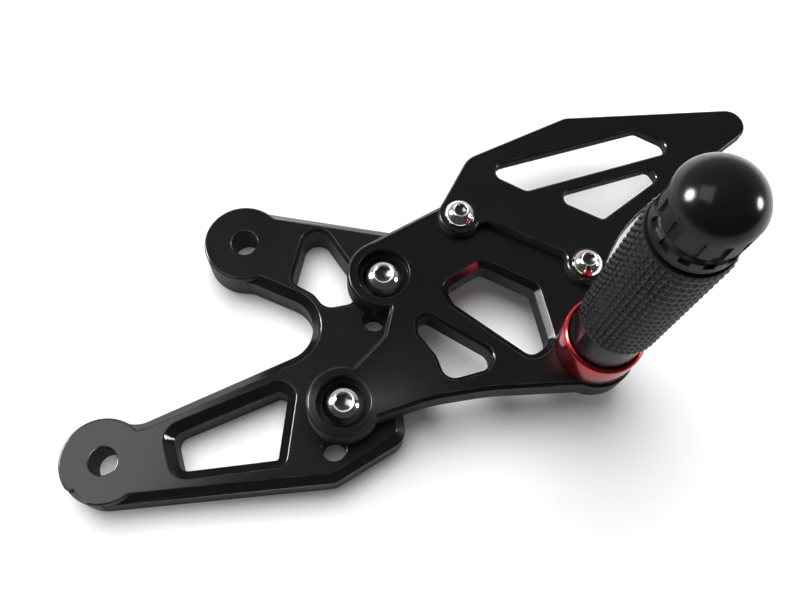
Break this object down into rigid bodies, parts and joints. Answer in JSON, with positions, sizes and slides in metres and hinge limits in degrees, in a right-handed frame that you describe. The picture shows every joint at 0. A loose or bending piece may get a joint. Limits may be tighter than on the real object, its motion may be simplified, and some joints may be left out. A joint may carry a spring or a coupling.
{
  "type": "motorcycle footpeg",
  "caption": "Left-hand rearset footpeg: fixed knurled peg with domed end cap and red collar on a windowed hanger plate, with heel guard and forked frame bracket.",
  "frame": {"origin": "midway between the two frame bolt bores, on the frame bracket's back face", "axes": "+Z outboard along the peg, +Y from the lower to the upper frame bolt, +X towards the peg"},
  "size_m": [0.1549, 0.2273, 0.1367],
  "materials": {
    "bracket_black": "satin black anodised billet",
    "hanger_black": "glossier black anodised billet",
    "guard_black": "satin black anodised plate",
    "stainless": "polished stainless",
    "collar_red": "red anodised, glossy",
    "grip_black": "black anodised knurl",
    "cap_black": "gloss black",
    "plated_steel": "zinc plated"
  },
  "bodies": {
    "root": {"frame_bracket": "bracket_black", "peg_hanger": "hanger_black", "heel_guard": "guard_black", "hanger_screw_lower": "stainless", "hanger_screw_upper": "stainless", "guard_screw_front": "stainless", "guard_screw_rear": "stainless", "peg_collar": "collar_red", "peg_barrel": "grip_black", "end_cap": "cap_black", "peg_bolt": "plated_steel", "peg_washer": "plated_steel", "cap_stud": "plated_steel"}
  },
  "joints": []
}
